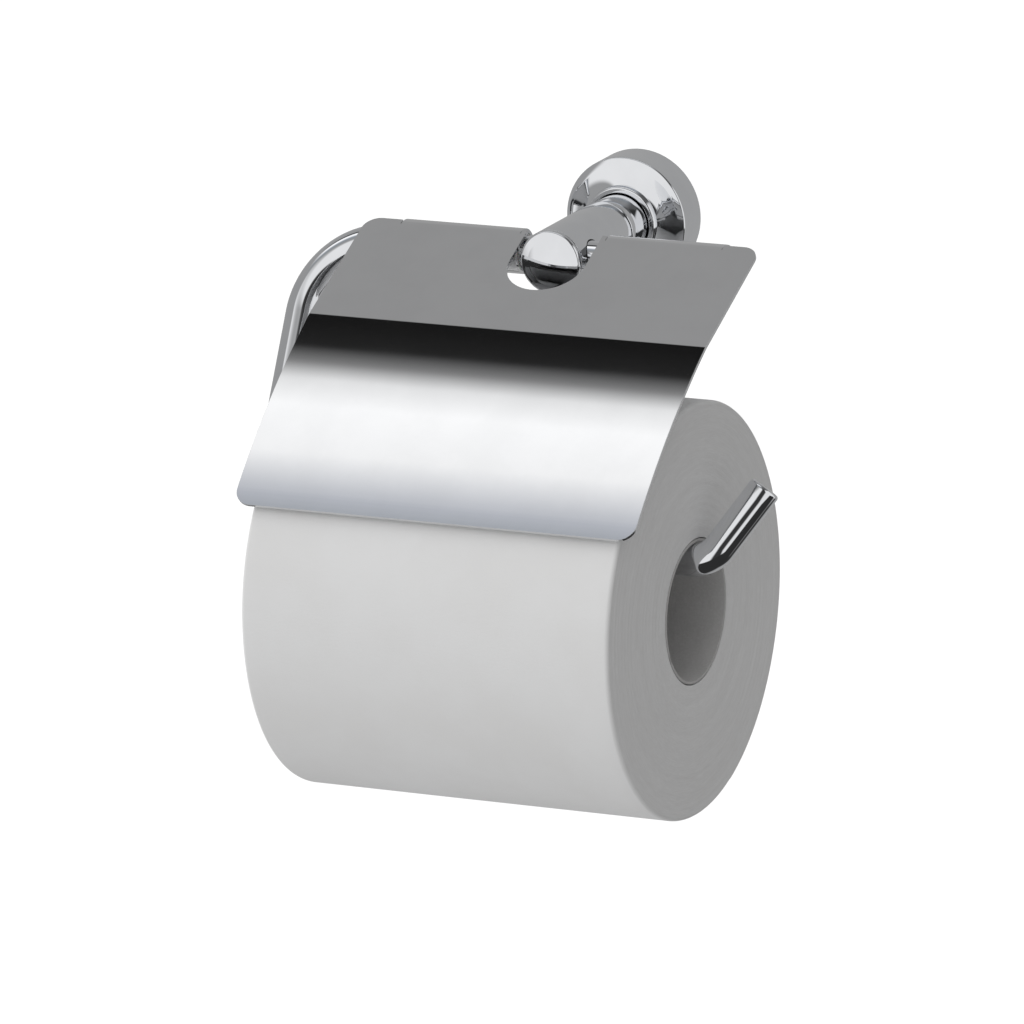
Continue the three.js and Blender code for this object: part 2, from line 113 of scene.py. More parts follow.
class Nodes:
    """Short calls for building a node tree."""

    def __init__(self, tree):
        self.tree = tree
        tree.nodes.clear()

    def add(self, kind, settings=None, **inputs):
        node = self.tree.nodes.new(kind)
        for key, value in (settings or {}).items():
            setattr(node, key, value)
        for key, value in inputs.items():
            socket = node.inputs[int(key[1:])] if key[0] == "_" else node.inputs[key.replace("_", " ")]
            self.set(socket, value)
        return node

    def set(self, socket, value):
        if isinstance(value, bpy.types.NodeSocket):
            self.tree.links.new(value, socket)
        else:
            socket.default_value = value

    def math(self, operation, a, b=0.0, c=0.0):
        return self.add("ShaderNodeMath", dict(operation=operation), _0=a, _1=b, _2=c).outputs[0]

    def ease(self, value, low, high, start=0.0, end=1.0):
        """Carries a value smoothly from low..high to start..end."""
        node = self.add("ShaderNodeMapRange", dict(interpolation_type="SMOOTHSTEP"), _0=value,
                        _1=low, _2=high, _3=start, _4=end)
        return node.outputs[0]

    def scale(self, value, low, high, start, end):
        """Carries a value in proportion from low..high to start..end."""
        return self.add("ShaderNodeMapRange", {}, _0=value, _1=low, _2=high, _3=start,
                        _4=end).outputs[0]

    def mix(self, share, first, second, blend="MIX"):
        node = self.add("ShaderNodeMix", dict(data_type="RGBA", blend_type=blend))
        self.set(node.inputs[0], share)
        self.set(node.inputs[6], first)
        self.set(node.inputs[7], second)
        return node.outputs[2]

    def ramp(self, value, stops):
        node = self.add("ShaderNodeValToRGB", {}, _0=value)
        elements = node.color_ramp.elements
        while len(elements) < len(stops):
            elements.new(1.0)
        for element, (place, color) in zip(elements, stops):
            element.position = place
            element.color = color
        return node.outputs[0]

    def noise(self, vector, scale, detail=3.0, roughness=0.5):
        node = self.add("ShaderNodeTexNoise", {}, Vector=vector, Scale=scale, Detail=detail,
                        Roughness=roughness)
        return node.outputs["Fac"]

    def object_space(self):
        return self.add("ShaderNodeTexCoord").outputs["Object"]

    def stretched(self, vector, scales):
        node = self.add("ShaderNodeMapping", {}, Vector=vector)
        node.inputs["Scale"].default_value = scales
        return node.outputs[0]

    def parts(self, vector):
        return self.add("ShaderNodeSeparateXYZ", {}, _0=vector).outputs

    def bump(self, height, strength, distance, normal=None):
        node = self.add("ShaderNodeBump", {}, Strength=strength, Distance=distance, Height=height)
        if normal is not None:
            self.set(node.inputs["Normal"], normal)
        return node.outputs[0]


def grey(value, warm=0.0):
    return (value * (1 + warm), value, value * (1 - warm), 1.0)


def new_material(name, color=None):
    material = bpy.data.materials.new(name)
    material.use_nodes = True
    if color:
        material.diffuse_color = color
    return material, Nodes(material.node_tree)


def finish_material(kit, **sockets):
    shader = kit.add("ShaderNodeBsdfPrincipled")
    for name, value in sockets.items():
        kit.set(shader.inputs[name.replace("_", " ")], value)
    output = kit.add("ShaderNodeOutputMaterial")
    kit.tree.links.new(shader.outputs[0], output.inputs[0])


# ---- Materials ----


def metal(name, light, dark, rough_low, rough_high, grain=0.0, grain_size=2500.0):
    """A plated or bare metal: faint cloudiness in colour and gloss, and a fine grain."""
    material, kit = new_material(name, light)
    place = kit.object_space()
    cloud = kit.noise(place, 55.0, 4.0, 0.6)
    fine = kit.noise(place, grain_size, 2.0)
    color = kit.mix(kit.ease(cloud, 0.35, 0.7), light, dark)
    rough = kit.scale(kit.math("MULTIPLY_ADD", fine, 0.4, cloud), 0.4, 1.0, rough_low, rough_high)
    sockets = dict(Base_Color=color, Metallic=1.0, Roughness=rough)
    if grain:
        sockets["Normal"] = kit.bump(fine, grain, 0.00002)
    finish_material(kit, **sockets)
    return material


def from_roll_axis(kit, place):
    """x, y and z of a place, measured from the roll's axis."""
    offset = kit.add("ShaderNodeVectorMath", dict(operation="SUBTRACT"), _0=place,
                     _1=tuple(ROLL_AXIS * MM))
    return kit.parts(offset.outputs[0])


def paper_material():
    """Wound tissue: fibres on the outside, fine rings of sheet edges on the ends."""
    material, kit = new_material("tissue_paper", grey(0.88))
    place = kit.object_space()
    x, y, z = from_roll_axis(kit, place)
    radius = kit.math("SQRT", kit.math("MULTIPLY_ADD", y, y, kit.math("MULTIPLY", z, z)))
    facing = kit.math("ABSOLUTE", kit.parts(kit.add("ShaderNodeNewGeometry").outputs["Normal"])[0])
    end_face = kit.ease(facing, 0.5, 0.9)
    angle = kit.math("ARCTAN2", z, y)
    around = kit.add("ShaderNodeCombineXYZ", {}, _0=kit.math("MULTIPLY", angle, 0.004),
                     _1=radius, _2=kit.math("MULTIPLY", x, 0.2)).outputs[0]
    rings = kit.noise(around, 2600.0, 3.0, 0.7)
    bands = kit.noise(around, 260.0, 2.0, 0.5)
    fibres = kit.noise(place, 1700.0, 4.0, 0.65)
    crepe = kit.noise(kit.stretched(place, (0.18, 1.0, 1.0)), 1500.0, 2.0)
    cloud = kit.noise(place, 38.0, 3.0, 0.6)
    outside = kit.mix(kit.ease(cloud, 0.3, 0.7), grey(0.865, 0.002), grey(0.895, -0.002))
    edges = kit.mix(kit.scale(kit.math("MULTIPLY_ADD", bands, 0.5, rings), 0.5, 1.0, 0.0, 1.0),
                    grey(0.80, 0.004), grey(0.895, 0.0))
    color = kit.mix(end_face, outside, edges)
    skin = kit.math("MULTIPLY_ADD", crepe, 0.6, fibres)
    relief = kit.add("ShaderNodeMix", {}, Factor=end_face, A=skin, B=rings).outputs[0]
    finish_material(kit, Base_Color=color, Roughness=kit.scale(fibres, 0.3, 0.7, 0.88, 0.98),
                    Specular_IOR_Level=0.12, Sheen_Weight=0.08, Sheen_Roughness=0.6,
                    Normal=kit.bump(relief, 0.35, 0.00012))
    return material


def card_material():
    """Wound greyboard with a spiral seam and flecks."""
    material, kit = new_material("core_card", grey(0.42, 0.03))
    place = kit.object_space()
    x, y, z = from_roll_axis(kit, place)
    turn = kit.math("DIVIDE", kit.math("ARCTAN2", z, y), TAU)
    pitch = 0.062  # of the seam, in metres
    along = kit.math("FRACT", kit.math("ADD", kit.math("DIVIDE", x, pitch), turn))
    seam = kit.math("SUBTRACT", 1.0, kit.ease(kit.math("ABSOLUTE", kit.math("SUBTRACT", along, 0.5)),
                                              0.006, 0.016))
    flecks = kit.noise(place, 1300.0, 4.0, 0.7)
    cloud = kit.noise(place, 120.0, 3.0)
    board = kit.mix(kit.ease(flecks, 0.35, 0.75), grey(0.50, 0.012), grey(0.57, 0.008))
    board = kit.mix(kit.scale(cloud, 0.3, 0.7, 0.0, 0.35), board, grey(0.60, 0.01))
    color = kit.mix(kit.math("MULTIPLY", seam, 0.45), board, grey(0.27, 0.02))
    height = kit.math("SUBTRACT", kit.math("MULTIPLY", flecks, 0.25), seam)
    finish_material(kit, Base_Color=color, Roughness=kit.scale(flecks, 0.3, 0.7, 0.8, 0.95),
                    Specular_IOR_Level=0.2, Normal=kit.bump(height, 0.5, 0.00015))
    return material


def nylon_material():
    material, kit = new_material("liner_nylon", grey(0.8, 0.02))
    place = kit.object_space()
    cloud = kit.noise(place, 220.0, 3.0)
    fine = kit.noise(place, 3500.0, 2.0)
    color = kit.mix(kit.ease(cloud, 0.3, 0.7), grey(0.78, 0.02), grey(0.84, 0.012))
    finish_material(kit, Base_Color=color, Roughness=kit.scale(fine, 0.3, 0.7, 0.38, 0.52),
                    Subsurface_Weight=0.1, Subsurface_Scale=0.002,
                    Normal=kit.bump(fine, 0.1, 0.00002))
    return material


CHROME = metal("polished_chrome", (0.83, 0.84, 0.86, 1), (0.79, 0.80, 0.82, 1), 0.02, 0.05)
SHEET = metal("polished_sheet", (0.80, 0.805, 0.815, 1), (0.775, 0.78, 0.79, 1), 0.03, 0.06)
STEEL = metal("plated_steel", (0.60, 0.61, 0.62, 1), (0.48, 0.49, 0.50, 1), 0.22, 0.38, 0.3)
ZINC = metal("cast_zinc", (0.50, 0.51, 0.52, 1), (0.38, 0.385, 0.39, 1), 0.42, 0.6, 0.6, 1400.0)
PAPER = paper_material()
CARD = card_material()
NYLON = nylon_material()


# ---- Mesh helpers, all in millimetres ----


def put(name, vertices, faces, material, body, slot, stands_for=(), crease=32.0):
    """A mesh piece from vertices in millimetres, smooth but for edges sharper than the crease."""
    mesh = bpy.data.meshes.new(name)
    mesh.from_pydata([Vector(v) * MM for v in vertices], [], faces)
    piece = bpy.data.objects.new(name, mesh)
    bpy.context.scene.collection.objects.link(piece)
    close_up(mesh)
    mesh.materials.append(material)
    smooth(mesh, crease)
    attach(piece, body)
    if stands_for:
        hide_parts(*stands_for)
    return piece


def close_up(mesh):
    work = bmesh.new()
    work.from_mesh(mesh)
    bmesh.ops.remove_doubles(work, verts=work.verts, dist=2e-7)
    bmesh.ops.recalc_face_normals(work, faces=work.faces)
    work.to_mesh(mesh)
    work.free()


def smooth(mesh, crease):
    """Smooth shading with sharp edges where faces meet at more than the crease, in degrees."""
    work = bmesh.new()
    work.from_mesh(mesh)
    limit = math.radians(crease)
    for face in work.faces:
        face.smooth = True
    for edge in work.edges:
        edge.smooth = len(edge.link_faces) == 2 and edge.calc_face_angle(0.0) < limit
    work.to_mesh(mesh)
    work.free()


def rounded(points, closed=False, steps=5):
    """A profile of (radius, distance, fillet) corners as plain points with arcs at the fillets."""
    made = []
    count = len(points)
    for i, (r, d, fillet) in enumerate(points):
        corner = Vector((r, d))
        if fillet <= 0 or (not closed and i in (0, count - 1)):
            made.append((r, d))
            continue
        before = Vector(points[i - 1][:2]) - corner
        after = Vector(points[(i + 1) % count][:2]) - corner
        half = before.angle(after) / 2
        if half > math.radians(89.5):
            made.append((r, d))
            continue
        run = min(fillet / math.tan(half), before.length * 0.49, after.length * 0.49)
        radius = run * math.tan(half)
        first, last = before.normalized() * run, after.normalized() * run
        centre = (first + last).normalized() * (radius / math.sin(half))
        start, end = first - centre, last - centre
        for k in range(steps + 1):
            spoke = start.slerp(end, k / steps).normalized() * radius
            made.append(tuple(corner + centre + spoke))
    return made


def dense(profile, longest):
    """The profile with points added so that no span is longer than a length."""
    made = [profile[0]]
    for a, b in zip(profile, profile[1:]):
        span = math.dist(a, b)
        count = max(1, math.ceil(span / longest))
        for k in range(1, count + 1):
            made.append((a[0] + (b[0] - a[0]) * k / count, a[1] + (b[1] - a[1]) * k / count))
    return made


def lathe(profile, centre, along, closed=False, sides=96, shift=None):
    """(vertices, faces) of a profile of (radius, distance) turned about an axis.

    The optional shift takes (radius, distance, angle) and gives a moved (radius, distance).
    """
    along = Vector(along).normalized()
    across = Vector((0, 0, 1)) if abs(along.z) < 0.5 else Vector((1, 0, 0))
    third = along.cross(across)
    vertices, rings, faces = [], [], []
    for r, d in profile:
        ring = []
        for k in range(sides if r > 1e-6 else 1):
            angle = TAU * k / sides
            radius, distance = shift(r, d, angle) if shift else (r, d)
            spoke = across * (radius * math.cos(angle)) + third * (radius * math.sin(angle))
            ring.append(len(vertices))
            vertices.append(Vector(centre) + along * distance + spoke)
        rings.append(ring)
    pairs = list(zip(rings, rings[1:])) + ([(rings[-1], rings[0])] if closed else [])
    for one, two in pairs:
        if len(one) == 1 and len(two) == 1:
            continue
        for k in range(sides):
            n = (k + 1) % sides
            loop = [one[k % len(one)], one[n % len(one)], two[n % len(two)], two[k % len(two)]]
            faces.append(list(dict.fromkeys(loop)))
    return vertices, faces


POST = (0, -1, 0)
ACROSS = (1, 0, 0)
UP = (0, 0, 1)


def turned_piece(name, profile, material, slot, stands_for, centre=(0, 0, 0), along=POST,
                 body="holder", closed=False, sides=96, crease=32.0, shift=None):
    vertices, faces = lathe(profile, centre, along, closed, sides, shift)
    return put(name, vertices, faces, material, body, slot, stands_for, crease)


def scratch(vertices, faces):
    """A throwaway object used as a cutter."""
    mesh = bpy.data.meshes.new("cutter")
    mesh.from_pydata([Vector(v) * MM for v in vertices], [], faces)
    close_up(mesh)
    cutter = bpy.data.objects.new("cutter", mesh)
    bpy.context.scene.collection.objects.link(cutter)
    return cutter


def cut(piece, cutters, crease=32.0):
    """Takes the cutters' space out of a piece, and removes the cutters."""
    for cutter in cutters:
        modifier = piece.modifiers.new("cut", "BOOLEAN")
        modifier.operation = "DIFFERENCE"
        modifier.solver = "EXACT"
        modifier.object = cutter
    bpy.context.view_layer.update()
    shown = piece.evaluated_get(bpy.context.evaluated_depsgraph_get())
    mesh = bpy.data.meshes.new_from_object(shown)
    piece.modifiers.clear()
    piece.data = mesh
    for cutter in cutters:
        bpy.data.objects.remove(cutter)
    smooth(mesh, crease)
    return piece


def rod_cutter(radius, start, end, centre, along, sides=64):
    profile = [(0, start), (radius, start), (radius, end), (0, end)]
    return scratch(*lathe(profile, centre, along, sides=sides))


def hex_cutter(radius, depth, mouth, along):
    """A hex key's socket with a drilled point at its floor."""
    floor = depth + 0.4
    profile = [(0, -1), (radius, -1), (radius, depth), (radius * 0.4, floor), (0, floor)]
    return scratch(*lathe(profile, mouth, along, sides=6))


def box_cutter(low, high):
    """A box between two corners."""
    corners = [(x, y, z) for z in (low[2], high[2])
               for x, y in ((low[0], low[1]), (high[0], low[1]), (high[0], high[1]), (low[0], high[1]))]
    faces = [[0, 1, 2, 3], [4, 5, 6, 7], [0, 1, 5, 4], [1, 2, 6, 5], [2, 3, 7, 6], [3, 0, 4, 7]]
    return scratch(corners, faces)


def unite(piece, filling):
    """Adds another object's space to a piece when the piece is next cut."""
    modifier = piece.modifiers.new("union", "BOOLEAN")
    modifier.operation = "UNION"
    modifier.solver = "EXACT"
    modifier.object = filling


def round_edges(piece, width, segments, angle):
    """Rounds edges sharper than an angle, keeps wide faces flat, and makes the result the mesh."""
    modifier = piece.modifiers.new("edges", "BEVEL")
    modifier.width = width * MM
    modifier.segments = segments
    modifier.limit_method = "ANGLE"
    modifier.angle_limit = math.radians(angle)
    modifier.use_clamp_overlap = True
    even = piece.modifiers.new("even", "WEIGHTED_NORMAL")
    even.weight = 100
    even.keep_sharp = True
    bpy.context.view_layer.update()
    shown = piece.evaluated_get(bpy.context.evaluated_depsgraph_get())
    mesh = bpy.data.meshes.new_from_object(shown)
    piece.modifiers.clear()
    piece.data = mesh


def thread(outer, depth, pitch, start, end, centre, along, point=0.0, sides=28, runout=1.5):
    """(vertices, faces) of a threaded shank.

    Its start tapers over the length of the point, and the thread fades over the runout at its end.
    """
    profile = [(0.0, start)]
    count = math.ceil((end - start) / (pitch / 8))
    for k in range(count + 1):
        profile.append((outer, start + (end - start) * k / count))
    profile.append((0.0, end))

    def shift(r, d, angle):
        if r == 0.0:
            return r, d
        wave = abs(((d / pitch - angle / TAU) % 1.0) * 2 - 1)
        fade = min(1.0, (end - d) / runout)
        body = outer - depth * fade * min(1.0, wave * 1.25)
        if point:
            body *= min(1.0, max(0.06, (d - start) / point))
        return body, d

    return lathe(profile, centre, along, sides=sides, shift=shift)


# ---- Wall end ----


def build_rosette():
    radius, band, depth, wall = (ROSETTE[k] for k in ("radius", "band", "depth", "wall"))
    hole, lip = NECK_RADIUS + SEAT_GAP, COLLAR["radius"] - SEAT_GAP
    rim = radius - ROSETTE["rim"]

    def cove(shift, count=18):
        a = Vector((rim - shift, band + ROSETTE["rise"] - shift))
        b = Vector((lip + ROSETTE["pull_out"], depth - ROSETTE["pull_back"] - shift))
        c = Vector((lip - shift / 2, depth - shift))
        return [tuple(a * (1 - t) ** 2 + b * (2 * t * (1 - t)) + c * t * t)
                for t in (k / count for k in range(count + 1))]

    front = cove(0)
    corner = rounded([(radius, 0.3, 0), (radius, band, 0.5), (*front[1], 0)])[1:-1]
    profile = dense([(radius, 0.0), *corner], 1.2) + front[1:] + [
        (hole, depth), (hole, depth - wall), *reversed(cove(wall, 6)),
        (radius - wall, band - wall), (radius - wall, 0.0)]
    piece = turned_piece("rosette_shell", profile, CHROME, "chrome", ["rosette"], closed=True,
                         sides=144)
    below = (0, -GRUB["depth"], -radius)
    cut(piece, [rod_cutter(GRUB["radius"] + SEAT_GAP, -3, 3, below, UP, 40)])


def build_grub_screw():
    outer = -ROSETTE["radius"] + GRUB["inset"]
    mouth = (0, -GRUB["depth"], outer)
    shank = thread(GRUB["radius"], depth=0.28, pitch=0.7, start=0.0, end=GRUB["length"],
                   centre=mouth, along=UP, runout=0.3)
    piece = put("rosette_setscrew", *shank, STEEL, "holder", "screw_steel", ["rosette_grub_screw"])
    cut(piece, [hex_cutter(GRUB["key"], GRUB["key_depth"], mouth, UP)])


def build_bracket():
    radius, depth, boss, boss_depth = (BRACKET[k] for k in ("radius", "depth", "boss", "boss_depth"))
    profile = rounded([(0, 0, 0), (radius, 0, 0.3), (radius, depth, 0.6), (boss, depth, 0.5),
                       (boss, boss_depth, 0.4), (0, boss_depth, 0)])
    piece = turned_piece("bracket_plate", profile, ZINC, "zinc", ["wall_bracket"])
    clear = SCREW["shank"] + SEAT_GAP
    wide = SCREW["head"] + SEAT_GAP
    seat = [(clear, SCREW["seat"] - SEAT_GAP),
            (wide, SCREW["seat"] + SCREW["head_depth"] - SEAT_GAP)]
    stud_hole = STUD["radius"] + SEAT_GAP
    cutters = [rod_cutter(stud_hole, STUD["start"] - SEAT_GAP, boss_depth + 1, (0, 0, 0), POST)]
    for side in (-1, 1):
        hole = [(0, -1), (clear, -1), *seat, (wide, depth + 1), (0, depth + 1)]
        cutters.append(scratch(*lathe(hole, (side * SCREW["offset"], 0, 0), POST, sides=48)))
    seat_centre = (0, -GRUB["depth"], -radius)
    cutters.append(rod_cutter(GRUB["radius"] + SEAT_GAP, -2, 2, seat_centre, UP, 32))
    cut(piece, cutters)


def slot_cutter(centre_x, head, width, height):
    """One bar of the cross in a screw's head, narrower at its floor."""
    work = bmesh.new()
    bmesh.ops.create_cube(work, size=1.0)
    for vertex in work.verts:
        share = 0.45 if vertex.co.y > 0 else 1.0
        vertex.co = MM * Vector((
            centre_x + vertex.co.x * width * share,
            -head + 0.2 + vertex.co.y * 2.4,
            vertex.co.z * height * share,
        ))
    mesh = bpy.data.meshes.new("cutter")
    work.to_mesh(mesh)
    work.free()
    cutter = bpy.data.objects.new("cutter", mesh)
    bpy.context.scene.collection.objects.link(cutter)
    return cutter


def build_wall_screw(name, stands_for, side):
    seat, shank, wide = SCREW["seat"], SCREW["shank"], SCREW["head"]
    head = seat + SCREW["head_depth"]
    centre = (side * SCREW["offset"], 0, 0)
    screwed = thread(shank, depth=0.55, pitch=1.5, start=head - SCREW["length"], end=seat + 0.2,
                     centre=centre, along=POST, point=SCREW["point"])
    top = rounded([(0, seat - 0.3, 0), (shank - 0.1, seat - 0.3, 0), (shank, seat, 0.4),
                   (wide, head - 0.15, 0.12), (wide - 0.25, head, 0.1), (0, head, 0)])
    piece = put(name, *lathe(top, centre, POST, sides=64), STEEL, "holder", "screw_steel",
                [stands_for])
    long, narrow = SCREW["slot"], SCREW["slot_width"]
    slots = [slot_cutter(centre[0], head, *size) for size in ((long, narrow), (narrow, long))]
    shank_object = scratch(*screwed)
    unite(piece, shank_object)
    cut(piece, slots)
    bpy.data.objects.remove(shank_object)


# ---- Post ----


def build_post():
    hole = NECK_RADIUS + SEAT_GAP
    radius, back, width = (COLLAR[k] for k in ("radius", "back", "width"))
    ring = rounded([(hole, back, 0.1), (radius, back, 0.35), (radius, back + width, 0.85),
                    (hole, back + width, 0.2)], closed=True, steps=8)
    turned_piece("collar_ring", ring, CHROME, "chrome", ["post_collar"], closed=True, sides=128)

    start, end = BRACKET["boss_depth"] + SEAT_GAP, HEAD["back"] - SEAT_GAP
    bore = STUD["radius"] + SEAT_GAP
    tube = rounded([(bore, start, 0.2), (NECK_RADIUS, start, 0.3), (NECK_RADIUS, end, 0.3),
                    (bore, end, 0.2)], closed=True, steps=3)
    turned_piece("neck_tube", tube, CHROME, "chrome", ["post_neck"], closed=True, sides=128)

    stud = thread(STUD["radius"], depth=0.45, pitch=1.0, start=STUD["start"], end=STUD["end"],
                  centre=(0, 0, 0), along=POST)
    put("threaded_stud", *stud, STEEL, "holder", "screw_steel", ["post_stud"])


def build_head():
    radius, back, front = (HEAD[k] for k in ("radius", "back", "front"))
    bore = STUD["radius"] + SEAT_GAP
    socket = CAP["spigot"] + SEAT_GAP
    grub_bore = ROD_GRUB["radius"] + SEAT_GAP
    bore_end = HEAD["bore_end"]
    floor = front - CAP["spigot_depth"] - SEAT_GAP
    outside = dense(rounded([(bore, back, 0.3), (radius, back, 0.7), (radius, front, 0.12),
                             (socket, front, 0)], steps=6)[1:], 1.0)
    profile = [(bore, back), *outside, (socket, floor), (grub_bore, floor),
               (grub_bore, bore_end), (bore, bore_end)]
    piece = turned_piece("head_barrel", profile, CHROME, "chrome", ["post_head"], closed=True,
                         sides=128)
    # Solid metal between the stud's end and the grub screw's bore.
    overlap = 0.4
    core_start, core_end = STUD["end"] + SEAT_GAP, bore_end + overlap
    core = [(0, core_start), (bore + overlap, core_start), (bore + overlap, core_end), (0, core_end)]
    filling = scratch(*lathe(core, (0, 0, 0), POST, sides=64))
    unite(piece, filling)
    # The rod's hole, a little wider at its two mouths.
    hole, lead_in = ROD["radius"] + SEAT_GAP, 0.9
    wide, outer = hole + 0.25, radius + 1
    hole_profile = [(0, -outer), (wide, -outer), (hole, lead_in - radius), (hole, radius - lead_in),
                    (wide, outer), (0, outer)]
    rod_hole = scratch(*lathe(hole_profile, (0, -ROD["reach"], 0), ACROSS, sides=96))
    grub_hole = rod_cutter(grub_bore, bore_end, front, (0, 0, 0), POST, 48)
    cut(piece, [rod_hole, grub_hole])
    bpy.data.objects.remove(filling)


def build_cap():
    radius = HEAD["radius"]
    start = HEAD["front"] + SEAT_GAP
    rim = start + CAP["thickness"]
    face = radius - CAP["chamfer"]
    spigot, spigot_start = CAP["spigot"], start - CAP["spigot_depth"]
    dome_share = 0.8  # of the face that the dome takes, inside the soft edge
    dome_edge = rim + CAP["dome"] * (1 - dome_share ** 2)
    edge = rounded([(0, spigot_start, 0), (spigot, spigot_start, 0.2), (spigot, start, 0),
                    (radius, start, 0.1), (radius, rim + 0.06, 0.75),
                    (face * dome_share, dome_edge, 0)], steps=10)
    dome = []
    steps = 26
    for k in range(1, steps + 1):
        share = dome_share * (1 - k / steps)
        dome.append((face * share, rim + CAP["dome"] * (1 - share ** 2)))
    turned_piece("head_face", edge + dome, CHROME, "chrome", ["head_cap"], sides=128)


def build_rod_grub_screw():
    mouth = (0, -ROD_GRUB["mouth"], 0)
    grub = thread(ROD_GRUB["radius"], depth=0.35, pitch=0.8, start=ROD_GRUB["point"],
                  end=ROD_GRUB["mouth"], centre=(0, 0, 0), along=POST, runout=0.3)
    screw = put("rod_setscrew", *grub, STEEL, "holder", "screw_steel", ["rod_grub_screw"])
    cut(screw, [hex_cutter(ROD_GRUB["key"], ROD_GRUB["key_depth"], mouth, (0, 1, 0))])


# ---- Rod ----


def walk(place, heading, moves):
    """Stations of (place, heading) in a plane, from ("ahead", length) and ("turn", angle, radius)."""
    longest, widest = 4.0, math.radians(2.0)  # of the steps along a straight and round a bend
    stations = [(Vector(place), heading)]
    at = Vector(place)
    for move in moves:
        if move[0] == "ahead":
            count = max(1, math.ceil(move[1] / longest))
            for _ in range(count):
                at = at + Vector((math.cos(heading), math.sin(heading))) * (move[1] / count)
                stations.append((at, heading))
            continue
        _, turn, radius = move
        side = heading + math.copysign(math.pi / 2, turn)
        centre = at + Vector((math.cos(side), math.sin(side))) * radius
        count = max(2, math.ceil(abs(turn) / widest))
        for k in range(1, count + 1):
            swung = turn * k / count
            spoke = side + math.pi + swung
            at = centre + Vector((math.cos(spoke), math.sin(spoke))) * radius
            stations.append((at, heading + swung))
        heading += turn
    return stations


def build_rod():
    round_start, round_end = 0.8, 1.0
    radius = ROD["radius"]
    straight = ROD["offset"] - ROD["bend"]
    stations = walk((ROD["top_end"] - round_start, 0), math.pi, [
        ("ahead", ROD["top_end"] - round_start + straight),
        ("turn", -math.pi / 2, ROD["bend"]),
        ("ahead", ROD["arm"] - 2 * ROD["bend"]),
        ("turn", -math.pi / 2, ROD["bend"]),
        ("ahead", ROD["lower_end"] + straight),
        ("turn", -ROD["tip_turn"], ROD["tip_bend"]),
        ("ahead", ROD["tip"] - round_end),
    ])
    down = Vector((0, -math.sin(ROD["lean"]), -math.cos(ROD["lean"])))
    right = Vector((1, 0, 0))
    normal = right.cross(down)
    origin = Vector((0, -ROD["reach"], 0))
    rings = []

    def ring(at, heading, size, push=0.0):
        ahead = right * math.cos(heading) + down * math.sin(heading)
        middle = origin + right * at.x + down * at.y + ahead * push
        rings.append((middle, ahead.cross(normal), size))

    first, last = stations[0], stations[-1]
    arc = 6
    for k in range(arc):
        a = math.pi / 2 * k / arc
        ring(*first, radius - round_start * (1 - math.sin(a)), -round_start * math.cos(a))
    for station in stations:
        ring(*station, radius)
    for k in range(1, arc + 1):
        a = math.pi / 2 * k / arc
        ring(*last, radius - round_end * (1 - math.cos(a)), round_end * math.sin(a))
    sides = 56
    vertices, faces = [], []
    for middle, sideways, size in rings:
        for k in range(sides):
            a = TAU * k / sides
            vertices.append(middle + (sideways * math.cos(a) + normal * math.sin(a)) * size)
    for i in range(len(rings) - 1):
        for k in range(sides):
            n = (k + 1) % sides
            faces.append([i * sides + k, i * sides + n, (i + 1) * sides + n, (i + 1) * sides + k])
    for i, (middle, _, _) in ((0, rings[0]), (len(rings) - 1, rings[-1])):
        vertices.append(middle)
        for k in range(sides):
            faces.append([i * sides + k, i * sides + (k + 1) % sides, len(vertices) - 1])
    put("bent_rod", vertices, faces, CHROME, "holder", "chrome", ["holder_rod"])


def build_end_cap():
    start = COVER["knuckle_end"] + SIDE_GAP
    floor = ROD["top_end"] + SEAT_GAP
    end = floor + END_FLOOR
    bore = ROD["radius"] + SEAT_GAP
    profile = rounded([(0, floor, 0), (bore, floor, 0.3), (bore, start, 0.15),
                       (STOP_RADIUS, start, 0.1), (STOP_RADIUS, end, 0.7), (0, end + 0.02, 0)],
                      steps=6)
    turned_piece("end_cap", profile, CHROME, "chrome", ["rod_end_cap"], (0, -ROD["reach"], 0),
                 ACROSS, sides=72)


def build_open_ring():
    near = -COVER["knuckle_end"] - SIDE_GAP
    far = near - RING["width"]
    inner = ROD["radius"] + 0.15
    profile = rounded([(inner, far, 0.2), (STOP_RADIUS, far, 0.2), (STOP_RADIUS, near, 0.2),
                       (inner, near, 0.2)], closed=True, steps=3)
    piece = turned_piece("open_ring", profile, STEEL, "screw_steel", ["retaining_ring"],
                         (0, -ROD["reach"], 0), ACROSS, closed=True, sides=72)
    half = RING["opening"] / 2
    cut(piece, [box_cutter((far - 1, -ROD["reach"] - half, -8), (near + 1, -ROD["reach"] + half, -3))])


# ---- Cover ----


def cover_place(forward, height):
    """A point of the cover's own side view, drawn with its flat part level, at rest."""
    c, s = math.cos(COVER_LEAN), math.sin(COVER_LEAN)
    return (HINGE.y - (forward * c + height * s), HINGE.z + height * c - forward * s)


def sheet_station(s):
    """(forward, height, heading) of the sheet's middle at a distance from the hinge's crest."""
    at, heading, left = Vector((0.0, COVER["height"])), 0.0, s
    if left <= COVER["flat"]:
        return at.x + left, at.y, 0.0
    at.x += COVER["flat"]
    left -= COVER["flat"]
    for turn, radius in ((COVER["fold_turn"], COVER["fold_radius"]),
                         (COVER["skirt_turn"], COVER["skirt"] / COVER["skirt_turn"])):
        swing = min(turn, left / radius)
        centre = at - Vector((-math.sin(heading), math.cos(heading))) * radius
        heading -= swing
        at = centre + Vector((-math.sin(heading), math.cos(heading))) * radius
        left -= swing * radius
        if left <= 1e-9:
            break
    return at.x, at.y, heading


def curl_station(s):
    """The same on a knuckle, at a distance back from the crest."""
    angle = s / COVER["height"]
    return (-COVER["height"] * math.sin(angle), COVER["height"] * math.cos(angle), angle)


